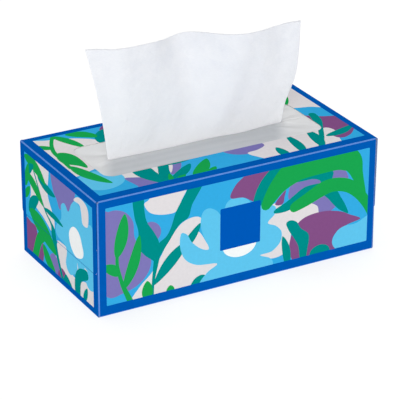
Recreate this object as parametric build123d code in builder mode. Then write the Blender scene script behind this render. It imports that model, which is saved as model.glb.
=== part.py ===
from build123d import *
from math import cos, pi
import os

# Boxed pop-up facial tissues: a folded and glued board carton, a slit film under its torn-out
# opening, a block of interfolded sheets, and the first two sheets of that block as pieces of
# their own, the first one drawn up through the slit.
#
# Millimetres. The origin is the middle of the carton's base. +X runs along the carton's
# length, +Y from its front panel to its back panel, and +Z up.

# ---------------------------------------------------------------- driving dimensions

# carton
box_length = 234.0
box_depth = 124.0
box_height = 91.0
board = 0.45             # thickness of the folding boxboard
fold_radius = 1.0        # outside radius of every fold
glue_film = 0.08         # thickness of a dried adhesive line

# end closures: the top flap is outside, the bottom flap behind it, the dust flaps inside
top_flap_reach = 57.7    # measured down from the carton's top face
bottom_flap_reach = 55.0
dust_flap_reach = 50.0
corner_lap = 0.6         # how far the two outer flaps run past the folds of the dust flaps
end_flap_taper = 0.5     # how much each side of a flap draws in towards its free edge
dust_flap_taper = 9.0
end_flap_round = 3.0
dust_flap_round = 7.0

# side seam: a flap on the bottom panel, glued inside the back panel
seam_flap_reach = 16.0
seam_flap_taper = 10.0
seam_flap_round = 2.0
back_edge_clear = 0.2    # the back panel's cut edge stops this far short of the seam fold

# opening in the top panel
opening_end_margin = 25.3
opening_side_margin = 33.0
opening_round = 8.0
nick_pitch = 12.0        # small nicks, left where the tear-out lid's perforation was
nick_width = 1.0
nick_depth = 0.35

# film with its slit
film = 0.05
film_lap = 11.0          # how far the film runs past the opening
film_corner = 4.0
film_glue_margin = 3.0   # from the film's edge to its glue
film_glue_width = 5.0
slit_end_margin = 5.7    # from the opening's end to the slit's end
slit_gape = 3.8          # width of the slit where the sheet spreads it

# block of sheets
end_room = 13.0          # between the block and the carton's end faces
side_room = 8.75         # between the block and the front and back faces
seat_gap = 0.1
head_room = 10.4         # from the block up to the carton's top face
block_round = 3.0
ply_pair = 0.25          # a two-ply sheet
air = 0.2                # loose air between two sheets

# the raised sheet
raised_end_left = 9.0    # from the slit's ends to the sheet's side edges at the film
raised_end_right = 13.7
rise = 82.5              # from the film to the sheet's top edge
flare_left = 10.0        # how far the side edges lean out over that rise
flare_right = 8.7
flare_right_rise = 38.0  # the right edge leans out low down and then stands straight
foot_spread = 4.0        # how much each side widens below the film
bend_radius = 2.4        # where the sheet turns up off the block
growth = 1.25            # power by which the standing curve grows with height
level_count = 14         # sections that the standing part is lofted through
# the standing curve at the top edge: share of the way across, distance behind the slit's line
standing_curve = [
    (0.0, 14.0),
    (0.14, 4.0),
    (0.30, 5.0),
    (0.47, 11.5),
    (0.65, -11.0),
    (0.77, -13.0),
    (0.90, -8.5),
    (1.0, -9.0),
]

# glue on the seam flap and the end flaps
glue_margin = 4.0        # from a flap's edge to its glue
dab_length = 22.0
dab_height = 22.0
dab_round = 6.0
dab_drop = 12.0          # dabs on the dust flaps, below the middle of the end

# ---------------------------------------------------------------- sizes that follow

layer = board + glue_film                      # one closed layer of an end closure
tube_half = box_length / 2 - 2 * layer - fold_radius
panel_half_depth = box_depth / 2 - fold_radius
panel_half_height = box_height / 2 - fold_radius
seam_crease_y = box_depth / 2 - layer - fold_radius
back_edge_lift = fold_radius + back_edge_clear
top_flap_width = 2 * (panel_half_depth + corner_lap)
bottom_flap_width = top_flap_width - layer

opening_length = box_length - 2 * opening_end_margin
opening_depth = box_depth - 2 * opening_side_margin
film_length = opening_length + 2 * film_lap
film_depth = opening_depth + 2 * film_lap
film_top = box_height - board - glue_film
film_bottom = film_top - film
slit_half = opening_length / 2 - slit_end_margin

sheet_across = box_length - 2 * end_room       # a sheet lies across the block in one piece
leaf = box_depth - 2 * side_room               # and is folded in half along it
sheet_length = 2 * leaf
block_base = board + seat_gap
sheet_step = ply_pair + air
block_top = box_height - head_room - 4 * sheet_step

# ---------------------------------------------------------------- helpers


def folded_flap(crease, lead, width, reach, taper, tip_round):
    """Adds one flap to the board in hand: a straight lead, a quarter-round fold and the flap.

    crease sits on the panel's outer face where the flap starts, with its x axis towards the
    fold, its y axis out of the board and its z axis along the fold. reach is measured from
    that outer face.
    """
    bend_end = lead + fold_radius
    with BuildSketch(crease) as section:
        with BuildLine():
            Line((0, -board), (0, 0))
            if lead > 0:
                Line((0, 0), (lead, 0))
                Line((0, -board), (lead, -board))
            RadiusArc((lead, 0), (bend_end, -fold_radius), fold_radius)
            RadiusArc((lead, -board), (bend_end - board, -fold_radius), fold_radius - board)
            Line((bend_end - board, -fold_radius), (bend_end, -fold_radius))
        make_face()
    extrude(section.sketch, amount=width / 2, both=True)

    face = Plane(
        crease.from_local_coords((bend_end, -fold_radius, 0)),
        x_dir=crease.z_dir,
        z_dir=crease.x_dir,
    )
    root = width / 2
    tip = reach - fold_radius
    with BuildSketch(face) as outline:
        with BuildLine():
            Polyline((-root, 0), (root, 0), (root - taper, tip), (taper - root, tip), close=True)
        make_face()
        fillet(outline.vertices().group_by(Axis.Y)[-1], tip_round)
    extrude(outline.sketch, amount=-board)


def nick_places(span, pitch):
    """Evenly spaced places along a straight side of the opening, near the given pitch."""
    count = max(2, round(span / pitch))
    return [(i + 0.5) * span / count - span / 2 for i in range(count)]


# ---------------------------------------------------------------- carton

with BuildPart() as carton:
    # four panels and their folds as one band, open along the bottom back edge
    with BuildSketch(Plane.YZ):
        with Locations((0, box_height / 2)):
            RectangleRounded(box_depth, box_height, fold_radius)
            RectangleRounded(
                box_depth - 2 * board, box_height - 2 * board, fold_radius - board, mode=Mode.SUBTRACT
            )
        with Locations((seam_crease_y, 0)):
            Rectangle(
                box_depth, back_edge_lift, align=(Align.MIN, Align.MIN), mode=Mode.SUBTRACT
            )
    extrude(amount=tube_half, both=True)

    # seam flap, up inside the back panel
    folded_flap(
        Plane((0, seam_crease_y, 0), x_dir=(0, 1, 0), z_dir=(-1, 0, 0)),
        lead=0,
        width=2 * tube_half,
        reach=seam_flap_reach,
        taper=seam_flap_taper,
        tip_round=seam_flap_round,
    )

    # end flaps: each plane's y axis points out of its panel
    for side in (-1, 1):
        end = side * tube_half
        outward = (side, 0, 0)
        top_crease = Plane((end, 0, box_height), x_dir=outward, z_dir=(0, -side, 0))
        bottom_crease = Plane((end, 0, 0), x_dir=outward, z_dir=(0, side, 0))
        front_crease = Plane((end, -box_depth / 2, box_height / 2), x_dir=outward, z_dir=(0, 0, -side))
        back_crease = Plane((end, box_depth / 2, box_height / 2), x_dir=outward, z_dir=(0, 0, side))
        folded_flap(
            top_crease, 2 * layer, top_flap_width, top_flap_reach, end_flap_taper, end_flap_round
        )
        folded_flap(
            bottom_crease, layer, bottom_flap_width, bottom_flap_reach, end_flap_taper, end_flap_round
        )
        for dust_crease in (front_crease, back_crease):
            folded_flap(
                dust_crease, 0, 2 * panel_half_height, dust_flap_reach, dust_flap_taper, dust_flap_round
            )

    # opening, with the nicks of its perforation
    with BuildSketch(Plane.XY.offset(box_height - board)):
        RectangleRounded(opening_length, opening_depth, opening_round)
        for edge in (-1, 1):
            along_x = nick_places(opening_length - 2 * opening_round, nick_pitch)
            with Locations(*[(x, edge * opening_depth / 2) for x in along_x]):
                Rectangle(nick_width, 2 * nick_depth)
            along_y = nick_places(opening_depth - 2 * opening_round, nick_pitch)
            with Locations(*[(edge * opening_length / 2, y) for y in along_y]):
                Rectangle(2 * nick_depth, nick_width)
    extrude(amount=board, mode=Mode.SUBTRACT)

carton.part.label = "carton"


# ---------------------------------------------------------------- film and its glue

with BuildPart() as slit_film:
    with BuildSketch(Plane.XY.offset(film_bottom)):
        RectangleRounded(film_length, film_depth, film_corner)
        with BuildLine():
            ThreePointArc((-slit_half, 0), (0, -slit_gape / 2), (slit_half, 0))
            ThreePointArc((-slit_half, 0), (0, slit_gape / 2), (slit_half, 0))
        make_face(mode=Mode.SUBTRACT)
    extrude(amount=film)

slit_film.part.label = "slit_film"

with BuildPart() as film_glue:
    with BuildSketch(Plane.XY.offset(film_top)):
        RectangleRounded(
            film_length - 2 * film_glue_margin, film_depth - 2 * film_glue_margin, film_corner
        )
        RectangleRounded(
            film_length - 2 * (film_glue_margin + film_glue_width),
            film_depth - 2 * (film_glue_margin + film_glue_width),
            film_corner,
            mode=Mode.SUBTRACT,
        )
    extrude(amount=glue_film)

film_glue.part.label = "film_glue"

# ---------------------------------------------------------------- glue in the board's joints

with BuildPart() as seam_glue:
    with BuildSketch(Plane.XZ.offset(board - box_depth / 2)):
        with Locations((0, (fold_radius + seam_flap_reach) / 2)):
            Rectangle(
                2 * (tube_half - seam_flap_taper - glue_margin),
                seam_flap_reach - fold_radius - 2 * glue_margin,
            )
    extrude(amount=glue_film)

seam_glue.part.label = "seam_glue"


def end_glue(side):
    """The glue of one end closure: a strip where the two outer flaps lap, and a dab on each
    dust flap behind the bottom flap."""
    lap_low = box_height - top_flap_reach
    strip_face = Plane((side * (box_length / 2 - board), 0, 0), x_dir=(0, side, 0), z_dir=(side, 0, 0))
    dab_face = strip_face.offset(-layer)
    with BuildPart() as glue:
        with BuildSketch(strip_face) as strip:
            with Locations((0, (lap_low + bottom_flap_reach) / 2)):
                Rectangle(
                    bottom_flap_width - 2 * (end_flap_taper + glue_margin),
                    bottom_flap_reach - lap_low - 2 * glue_margin,
                )
        extrude(strip.sketch, amount=-glue_film)
        dab_out = bottom_flap_width / 2 - end_flap_taper - glue_margin - dab_length / 2
        with BuildSketch(dab_face) as dabs:
            with Locations((-dab_out, box_height / 2 - dab_drop), (dab_out, box_height / 2 - dab_drop)):
                RectangleRounded(dab_length, dab_height, dab_round)
        extrude(dabs.sketch, amount=-glue_film)
    return glue.part


left_end_glue = end_glue(-1)
left_end_glue.label = "left_end_glue"
right_end_glue = end_glue(1)
right_end_glue.label = "right_end_glue"

# ---------------------------------------------------------------- block of sheets

with BuildPart() as tissue_stack:
    with BuildSketch(Plane.YZ):
        with Locations((0, (block_base + block_top) / 2)):
            RectangleRounded(leaf, block_top - block_base, block_round)
    extrude(amount=sheet_across / 2, both=True)

tissue_stack.part.label = "tissue_stack"

# ---------------------------------------------------------------- next sheet

# Sheets are folded in half and laid into each other: the next sheet opens to the back, round
# the free leaf of the raised sheet, which opens to the front. Levels are undersides.
next_lower = block_top + air
raised_lower = next_lower + sheet_step
next_upper = raised_lower + sheet_step
raised_upper = next_upper + sheet_step
fold_outer = sheet_step + ply_pair / 2          # outside radius of a sheet's fold


def folded_leaves(fold_line, low, upper_length, lower_length):
    """Section of a sheet folded in half: the fold stands at the plane's origin, its y axis is
    up and both leaves run along its x axis. low is the underside of the lower leaf."""
    top = low + 2 * fold_outer
    middle = low + fold_outer
    with BuildSketch(fold_line) as section:
        with BuildLine():
            Line((fold_outer, low), (lower_length, low))
            Line((lower_length, low), (lower_length, low + ply_pair))
            Line((lower_length, low + ply_pair), (fold_outer, low + ply_pair))
            ThreePointArc((fold_outer, low + ply_pair), (ply_pair, middle), (fold_outer, top - ply_pair))
            Line((fold_outer, top - ply_pair), (upper_length, top - ply_pair))
            Line((upper_length, top - ply_pair), (upper_length, top))
            Line((upper_length, top), (fold_outer, top))
            ThreePointArc((fold_outer, top), (0, middle), (fold_outer, low))
        make_face()
    return section.sketch


with BuildPart() as next_sheet:
    front_fold = Plane((0, -leaf / 2, 0), x_dir=(0, 1, 0), z_dir=(1, 0, 0))
    leaves = folded_leaves(front_fold, next_lower, leaf - 2 * fold_outer, leaf - 2 * fold_outer)
    extrude(leaves, amount=sheet_across / 2, both=True)

next_sheet.part.label = "next_sheet"

# ---------------------------------------------------------------- raised sheet

turn_top = raised_upper + ply_pair + bend_radius    # where the bend off the block ends
upper_run = leaf / 2 - ply_pair / 2 - bend_radius   # from the fold to the bend
lower_run = (
    sheet_length
    - rise
    - (film_top - turn_top)
    - pi / 2 * (bend_radius + ply_pair / 2)
    - (upper_run - fold_outer)
    - pi * (fold_outer - ply_pair / 2)
)

foot_left = raised_end_left - slit_half             # where its side edges pass the film
foot_right = slit_half - raised_end_right


def standing_section(height):
    """Thin band across the sheet at a height over the film, between its two side edges."""
    if height <= 0:
        below = -height / (film_top - turn_top)
        left, right, curl = foot_left - foot_spread * below, foot_right + foot_spread * below, 0
    else:
        lean = min(1, height / flare_right_rise)
        left = foot_left - flare_left * height / rise
        right = foot_right + flare_right * (1 - (1 - lean) ** 2)
        curl = (height / rise) ** growth
    line = [(left + share * (right - left), curl * behind) for share, behind in standing_curve]
    front = [(x, y - ply_pair / 2) for x, y in line]
    back = [(x, y + ply_pair / 2) for x, y in line]
    with BuildSketch(Plane.XY.offset(film_top + height)) as band:
        with BuildLine():
            Spline(*front)
            Spline(*back)
            Line(front[0], back[0])
            Line(front[-1], back[-1])
        make_face()
    return band.sketch


with BuildPart() as raised_sheet:
    # the part that stands, from the top of the bend off the block to the top edge
    levels = [turn_top - film_top] + [rise * i / level_count for i in range(level_count + 1)]
    loft([standing_section(height) for height in levels], ruled=True)

    # the bend off the block, and the leaf under it that the next sheet's leaf lies on
    back_fold = Plane((0, leaf / 2, 0), x_dir=(0, -1, 0), z_dir=(-1, 0, 0))
    leaves = folded_leaves(back_fold, raised_lower, upper_run, lower_run)
    extrude(leaves, amount=sheet_across / 2, both=True)
    with BuildSketch(back_fold) as bend:
        with BuildLine():
            under = raised_upper
            over = raised_upper + ply_pair
            out = upper_run + bend_radius
            Line((upper_run, under), (upper_run, over))
            RadiusArc((upper_run, over), (out, turn_top), -bend_radius)
            Line((out, turn_top), (out + ply_pair, turn_top))
            RadiusArc((out + ply_pair, turn_top), (upper_run, under), bend_radius + ply_pair)
        make_face()
    extrude(bend.sketch, amount=sheet_across / 2, both=True)

    # the upper leaf narrows towards the slit
    with BuildSketch(Plane.XY.offset(raised_upper - air / 2)) as gather:
        for edge, toward in ((foot_left - foot_spread, -1), (foot_right + foot_spread, 1)):
            far = toward * (sheet_across / 2 + 1)
            with BuildLine():
                Polyline(
                    (edge, -bend_radius), (edge, bend_radius + ply_pair),
                    (toward * sheet_across / 2, leaf / 2 - fold_outer), (far, leaf / 2 - fold_outer),
                    (far, -bend_radius), close=True,
                )
            make_face()
    extrude(gather.sketch, amount=turn_top - raised_upper + air / 2, mode=Mode.SUBTRACT)

raised_sheet.part.label = "raised_sheet"

# ---------------------------------------------------------------- files

os.makedirs("parts", exist_ok=True)
export_step(carton.part, "parts/carton.step")
export_step(slit_film.part, "parts/slit_film.step")
export_step(film_glue.part, "parts/film_glue.step")
export_step(seam_glue.part, "parts/seam_glue.step")
export_step(left_end_glue, "parts/left_end_glue.step")
export_step(right_end_glue, "parts/right_end_glue.step")
export_step(tissue_stack.part, "parts/tissue_stack.step")
export_step(next_sheet.part, "parts/next_sheet.step")
export_step(raised_sheet.part, "parts/raised_sheet.step")
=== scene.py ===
# %% [markdown]
# # A carton of pop-up facial tissues
#
# The object is a folded and glued board carton with a slit film under its opening, a block of
# interfolded two-ply sheets inside, and one sheet that stands up through the slit. The packed
# model gives every size and place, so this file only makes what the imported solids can't show:
# the printed pattern, the film's wrinkles, the soft paper and the light.
#
# The model's frame is used throughout: X runs along the carton, Y from its front panel to its
# back panel, Z up, and the origin is the middle of its base. Shapes are worked out in
# millimetres and turned into metres when a mesh is made.

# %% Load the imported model
from math import pi, radians

import bpy
import numpy as np
from mathutils import Matrix, Vector
from mathutils.geometry import delaunay_2d_cdt


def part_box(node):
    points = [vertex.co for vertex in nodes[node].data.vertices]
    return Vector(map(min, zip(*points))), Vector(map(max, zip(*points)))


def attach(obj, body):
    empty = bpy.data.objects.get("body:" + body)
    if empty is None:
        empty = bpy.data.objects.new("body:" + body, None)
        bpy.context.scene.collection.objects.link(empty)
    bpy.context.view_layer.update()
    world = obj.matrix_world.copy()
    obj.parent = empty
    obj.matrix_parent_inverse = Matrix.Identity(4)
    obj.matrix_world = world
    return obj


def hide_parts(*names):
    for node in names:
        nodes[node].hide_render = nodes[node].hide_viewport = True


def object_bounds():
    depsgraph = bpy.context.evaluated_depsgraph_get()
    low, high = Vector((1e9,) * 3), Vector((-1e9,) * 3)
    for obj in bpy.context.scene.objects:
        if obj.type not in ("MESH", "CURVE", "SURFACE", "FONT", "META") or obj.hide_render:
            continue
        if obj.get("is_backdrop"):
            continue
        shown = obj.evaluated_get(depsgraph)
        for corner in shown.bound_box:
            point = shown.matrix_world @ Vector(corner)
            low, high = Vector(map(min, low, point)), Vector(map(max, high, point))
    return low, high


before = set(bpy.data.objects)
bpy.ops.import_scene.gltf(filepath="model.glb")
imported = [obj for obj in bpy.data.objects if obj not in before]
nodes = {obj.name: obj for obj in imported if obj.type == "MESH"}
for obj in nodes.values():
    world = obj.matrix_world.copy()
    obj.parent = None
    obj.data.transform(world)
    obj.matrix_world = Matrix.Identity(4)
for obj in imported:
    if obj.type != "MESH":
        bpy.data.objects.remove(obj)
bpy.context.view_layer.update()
print("nodes:", ", ".join(sorted(nodes)))

# %% [markdown]
# ## Sizes
#
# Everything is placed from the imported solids' boxes. A box is read once, in millimetres.

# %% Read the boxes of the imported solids
MM = 0.001


def box_mm(node):
    """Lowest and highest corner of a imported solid, in millimetres."""
    low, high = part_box(node)
    return np.array(low) / MM, np.array(high) / MM


carton_low, carton_high = box_mm("carton")
length, depth, height = carton_high - carton_low
film_high = box_mm("slit_film")[1]
block_low, block_high = box_mm("tissue_stack")
sheet_high = box_mm("raised_sheet")[1]
next_low, next_high = box_mm("next_sheet")
print(f"carton {length:.1f} x {depth:.1f} x {height:.1f} mm, sheet top at {sheet_high[2]:.1f} mm")

# %% [markdown]
# ## Camera
#
# The carton is seen from its front left, from a little above, through a long lens, so its edges
# stay nearly parallel. Azimuth turns the camera round the vertical axis, elevation lifts it.

# %% Set the camera
aim = Vector((0.0082, 0.0131, 0.0339))
distance = 1.696
azimuth, elevation, roll = radians(-29.316), radians(25.109), radians(0.225)

turn = Matrix.Rotation(azimuth, 4, "Z") @ Matrix.Rotation(pi / 2 - elevation, 4, "X")
turn = turn @ Matrix.Rotation(roll, 4, "Z")
camera = bpy.data.objects.new("camera", bpy.data.cameras.new("camera"))
camera.matrix_world = Matrix.Translation(aim + distance * turn.col[2].to_3d()) @ turn
camera.data.lens = 202.0
camera.data.sensor_width = 36
bpy.context.scene.collection.objects.link(camera)
bpy.context.scene.camera = camera
print("camera at", [round(x, 3) for x in camera.matrix_world.translation])

# %% [markdown]
# ## Making meshes
#
# Board, film and paper are all thin. Each is made as a grid or a map of faces with a twin
# behind it and a rim between the two, so that every piece is closed and its faces point out.
# A Solidify modifier would do it too, but in the arrays the order of the twins is known, so
# inks and maps can be given to both sides at once.

# %% Turn arrays into a piece


def two_sided(faces, count):
    """Faces of a closed thin sheet. Its points are count front points and then their twins.

    The front faces come first, then the twin faces turned round, then one rim face for every
    edge that only one front face uses.
    """
    starts, ends = faces.ravel(), np.roll(faces, -1, axis=1).ravel()
    lone = ~np.isin(starts * count + ends, ends * count + starts)
    a, b = starts[lone], ends[lone]
    rim = np.stack([b, a, a + count, b + count], axis=1)
    return faces.tolist() + (faces[:, ::-1] + count).tolist() + rim.tolist()


def grid_faces(rows, columns, wrap=False):
    """Quads of a grid, rows by columns; wrap joins the last column to the first."""
    index = np.arange(rows * columns).reshape(rows, columns)
    if wrap:
        index = np.hstack([index, index[:, :1]])
    corners = [index[:-1, :-1], index[:-1, 1:], index[1:, 1:], index[1:, :-1]]
    return np.stack(corners, axis=-1).reshape(-1, 4)


def make_piece(name, points, faces, finish, smooth=True):
    """Makes one piece of the object from points in millimetres and lists of corner indices."""
    mesh = bpy.data.meshes.new(name)
    mesh.from_pydata((points.reshape(-1, 3) * MM).tolist(), [], faces)
    mesh.polygons.foreach_set("use_smooth", np.full(len(mesh.polygons), smooth))
    mesh.materials.append(finish)
    piece = bpy.data.objects.new(name, mesh)
    bpy.context.scene.collection.objects.link(piece)
    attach(piece, "root")
    print(f"{name}: {len(mesh.vertices)} points, {len(mesh.polygons)} faces")
    return piece


print("a grid of 2 by 3 points has", len(grid_faces(2, 3)), "faces")

# %% [markdown]
# ## Making finishes
#
# A finish is a small tree of shader nodes. Inks are given as they look on screen and turned
# into the linear values that a renderer works with.

# %% Build finishes from nodes


def ink(red, green, blue):
    """Linear colour of an ink that looks like this on screen, each part from 0 to 255."""
    shown = np.array([red, green, blue]) / 255
    linear = np.where(shown <= 0.04045, shown / 12.92, ((shown + 0.055) / 1.055) ** 2.4)
    return (*linear.tolist(), 1.0)


def new_finish(name, **sockets):
    """A material with one Principled shader. Its plain values are given by their sockets' names,
    with underscores in place of spaces."""
    finish = bpy.data.materials.new(name)
    finish.use_nodes = True
    shader = finish.node_tree.nodes["Principled BSDF"]
    for socket, value in sockets.items():
        shader.inputs[socket.replace("_", " ")].default_value = value
    return finish, finish.node_tree, shader


def add_node(tree, kind, inputs=None, output=0, **settings):
    """Adds a node and returns one of its outputs. An input may be a value or another output."""
    node = tree.nodes.new("ShaderNode" + kind)
    for setting, value in settings.items():
        setattr(node, setting, value)
    for socket, value in (inputs or {}).items():
        if isinstance(value, bpy.types.NodeSocket):
            tree.links.new(value, node.inputs[socket])
        else:
            node.inputs[socket].default_value = value
    return node.outputs[output]


print("mid grey is", [round(part, 3) for part in ink(128, 128, 128)])

# %% [markdown]
# Short helpers name what the finishes below do again and again: some arithmetic, the parts of a
# vector, a mix of two inks, a smooth rise, noise over a range of values, and a shallow relief.

# %% Name the nodes that every finish uses


def math_node(tree, operation, *values):
    """A Math node on values or outputs."""
    return add_node(tree, "Math", dict(enumerate(values)), operation=operation)


def parts_of(tree, vector):
    """The three parts of a vector."""
    node = tree.nodes.new("ShaderNodeSeparateXYZ")
    tree.links.new(vector, node.inputs[0])
    return node.outputs


def mix_inks(tree, share, under, over):
    """Colour that goes from under to over as share goes from 0 to 1."""
    return add_node(tree, "Mix", {0: share, 6: under, 7: over}, output=2, data_type="RGBA")


def smooth_rise(tree, value, start, end):
    """Goes smoothly from 0 where value is start to 1 where it is end."""
    inputs = {"Value": value, "From Min": start, "From Max": end}
    return add_node(tree, "MapRange", inputs, interpolation_type="SMOOTHSTEP")


def grain(tree, place, scale, detail=2.0, low=0.0, high=1.0):
    """Noise on place, spread over low to high. scale is in features per metre."""
    noise = add_node(tree, "TexNoise", {"Vector": place, "Scale": scale, "Detail": detail})
    spread = {"Value": noise, "From Min": 0.3, "From Max": 0.7, "To Min": low, "To Max": high}
    return add_node(tree, "MapRange", spread)


def press_in(tree, shader, relief, distance_m, strength=1.0, before=None):
    """Adds a bump of that depth to the shader, on top of the bump before, if there is one."""
    inputs = {"Height": relief, "Distance": distance_m, "Strength": strength}
    if before is not None:
        inputs["Normal"] = before
    bumped = add_node(tree, "Bump", inputs)
    tree.links.new(bumped, shader.inputs["Normal"])
    return bumped


def give_finish(names, finish):
    """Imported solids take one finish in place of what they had."""
    for name in names:
        nodes[name].data.materials.clear()
        nodes[name].data.materials.append(finish)
        print(name, "takes", finish.name)


print("helpers: math_node, parts_of, mix_inks, smooth_rise, grain, press_in, give_finish")

# %% [markdown]
# ## Board
#
# The carton is clay-coated board, printed on its outside only. A border runs round every panel,
# a shade lighter on the folds, partly where the ink is stretched and worn over a fold and partly
# a painted highlight, and the inside and the cut edges show the grey board. Nothing on the
# imported solid says which of its faces are printed, so one finish works it out from how near a
# point is to the carton's outside and which way its face looks.

# %% Finish of the carton's board
BORDER = ink(0, 90, 180)
# painted highlight: the lighter blue on the folds is partly ink stretched and worn over the crease and
# partly a highlight painted in
FOLD_WEAR_AND_HIGHLIGHT = ink(104, 148, 222)
RAW_BOARD = ink(222, 220, 214)
RAW_DARK = ink(204, 200, 191)
PRINTED_DEPTH = np.array([1.2, 1.3, 0.6]) * MM  # how deep the printed outside reaches, per axis
FOLD_LEAN = 0.985  # a face is on a fold if no part of its normal is larger
OUTWARD = 3 * MM  # least product of distance from the middle and normal on an outer face


def board_finish():
    """Border ink where a point is near the outside and its face looks out, raw board elsewhere."""
    finish, tree, shader = new_finish("printed board", Specular_IOR_Level=0.0)
    place = add_node(tree, "TexCoord", output=3)
    normal = add_node(tree, "NewGeometry", output=1)
    centre = tuple((carton_low + carton_high) / 2 * MM)
    from_centre = add_node(tree, "VectorMath", {0: place, 1: centre}, operation="SUBTRACT")
    outward = add_node(tree, "VectorMath", {0: from_centre, 1: normal}, operation="MULTIPLY")
    reach = add_node(tree, "VectorMath", {0: from_centre}, operation="ABSOLUTE")
    lean = add_node(tree, "VectorMath", {0: normal}, operation="ABSOLUTE")

    outer, flat = 0.0, 0.0
    inside = (carton_high - carton_low) / 2 * MM - PRINTED_DEPTH
    for axis in range(3):
        near = math_node(tree, "GREATER_THAN", parts_of(tree, reach)[axis], inside[axis])
        facing = math_node(tree, "GREATER_THAN", parts_of(tree, outward)[axis], OUTWARD)
        outer = math_node(tree, "MAXIMUM", outer, math_node(tree, "MULTIPLY", near, facing))
        flat = math_node(tree, "MAXIMUM", flat, parts_of(tree, lean)[axis])

    fibres = grain(tree, place, 2600, 5.0)
    raw = mix_inks(tree, fibres, RAW_DARK, RAW_BOARD)
    # folds take the lighter blue, a little uneven: partly wear, partly painted highlight
    on_fold = math_node(tree, "LESS_THAN", flat, FOLD_LEAN)
    wear_and_highlight = grain(tree, place, 700, 3.0, 0.8, 1.0)
    stretched = mix_inks(tree, math_node(tree, "MULTIPLY", on_fold, wear_and_highlight), BORDER, FOLD_WEAR_AND_HIGHLIGHT)
    density = grain(tree, place, 160, 3.0, 0.96, 1.03)
    printed = add_node(tree, "VectorMath", {0: stretched, "Scale": density}, operation="SCALE")
    tree.links.new(mix_inks(tree, outer, raw, printed), shader.inputs["Base Color"])

    gloss = add_node(tree, "MapRange", {"Value": outer, "To Min": 0.85, "To Max": 0.42})
    tree.links.new(math_node(tree, "ADD", gloss, grain(tree, place, 900, 2.0, -0.05, 0.05)),
                   shader.inputs["Roughness"])
    press_in(tree, shader, fibres, 0.00002, 0.5)
    return finish


give_finish(["carton"], board_finish())

# %% [markdown]
# ## Adhesive
#
# The glue lines are thin films of dried white adhesive, slightly yellow and uneven. Their packed
# solids have the right shape already, so they only need a finish.

# %% Finish of the glue lines


def adhesive_finish():
    """Ivory film whose tone and gloss vary over a few millimetres."""
    finish, tree, shader = new_finish("dried adhesive", Roughness=0.4)
    place = add_node(tree, "TexCoord", output=3)
    pooled = grain(tree, place, 350, 3.0)
    tint = mix_inks(tree, pooled, ink(226, 218, 190), ink(240, 236, 220))
    tree.links.new(tint, shader.inputs["Base Color"])
    press_in(tree, shader, pooled, 0.00003, 0.6)
    return finish


give_finish(["film_glue", "seam_glue", "left_end_glue", "right_end_glue"], adhesive_finish())

# %% [markdown]
# ## Drawing the print
#
# The pattern is cut-paper foliage: flat leaves, stems, blooms and rounded patches that overlap.
# A picture would blur and a shader would need thousands of nodes, so each shape is an outline,
# worked out from a few points, and the shapes of a panel are laid over each other in order.
# The plainest shape is a patch, a smooth closed line through its points.

# %% Smooth lines and patches


def smooth_line(points, steps=9, closed=False):
    """Curve through points: between two of them it is the cubic whose slope at each is half the
    step between that point's neighbours."""
    p = np.asarray(points, float)
    if closed:
        before, here, there, after = p, np.roll(p, -1, 0), np.roll(p, -2, 0), np.roll(p, -3, 0)
    else:
        whole = np.vstack([2 * p[0] - p[1], p, 2 * p[-1] - p[-2]])
        before, here, there, after = whole[:-3], whole[1:-2], whole[2:-1], whole[3:]
    t = (np.arange(steps) / steps)[:, None, None]
    curve = (
        2 * here
        + (there - before) * t
        + (2 * before - 5 * here + 4 * there - after) * t**2
        + (3 * here - before - 3 * there + after) * t**3
    ) / 2
    curve = curve.transpose(1, 0, 2).reshape(-1, p.shape[1])
    return curve if closed else np.vstack([curve, p[-1]])


def patch(*points):
    """Rounded patch: the closed smooth curve through its points."""
    return smooth_line(points, closed=True)


print("a patch of four points has", len(patch((0, 0), (1, 0), (1, 1), (0, 1))), "outline points")

# %% [markdown]
# A leaf needs only its two tips and its width, because all leaves have one formula. A stem is
# a ribbon whose width is given along with each of its points.

# %% Leaves and stems


def leaf(base, tip, width, bend=0.0, belly=0.45):
    """Leaf with blunt tips: a straight rib from base to tip, bowed by bend, with a half width
    that goes as a root of the sine of the way along it, widest at belly."""
    base, tip = np.array(base, float), np.array(tip, float)
    t = (0.5 - 0.5 * np.cos(np.linspace(0, pi, 23)))[:, None]
    rib = tip - base
    side = np.array([-rib[1], rib[0]]) / np.hypot(*rib)
    line = base + t * rib + bend * np.sin(pi * t) * side
    half = width / 2 * np.sin(pi * t ** (np.log(0.5) / np.log(belly))) ** 0.62 * side
    return np.vstack([line - half, (line + half)[-2:0:-1]])


def stem(*points):
    """Ribbon along a smooth line of (x, y, width) points, with half-round ends."""
    line = smooth_line(points, steps=7)
    along = np.gradient(line[:, :2], axis=0)
    along /= np.linalg.norm(along, axis=1)[:, None]
    side = np.stack([-along[:, 1], along[:, 0]], 1) * line[:, 2:] / 2
    angle = np.linspace(0, pi, 7)[1:-1, None]
    far = line[-1, :2] - np.cos(angle) * side[-1] + np.sin(angle) * along[-1] * line[-1, 2] / 2
    near = line[0, :2] + np.cos(angle) * side[0] - np.sin(angle) * along[0] * line[0, 2] / 2
    return np.vstack([line[:, :2] - side, far, (line[:, :2] + side)[::-1], near])


print("a leaf has", len(leaf((0, 0), (10, 0), 4)), "outline points")

# %% [markdown]
# The middles of the flowers are ovals, and a whole flower is one line that goes out to each
# petal's tip and back to the notch beside it.

# %% Ovals and blooms


def oval(centre, width, height, turned=0.0, wobble=0.0, waves=3):
    """Ellipse whose radius swells by wobble, waves times round, turned by some degrees."""
    a = np.linspace(0, 2 * pi, 48, endpoint=False)
    swell = 1 + wobble * np.cos(waves * a + 1)
    x, y = width / 2 * np.cos(a) * swell, height / 2 * np.sin(a) * swell
    c, s = np.cos(radians(turned)), np.sin(radians(turned))
    return np.stack([centre[0] + c * x - s * y, centre[1] + s * x + c * y], 1)


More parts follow.
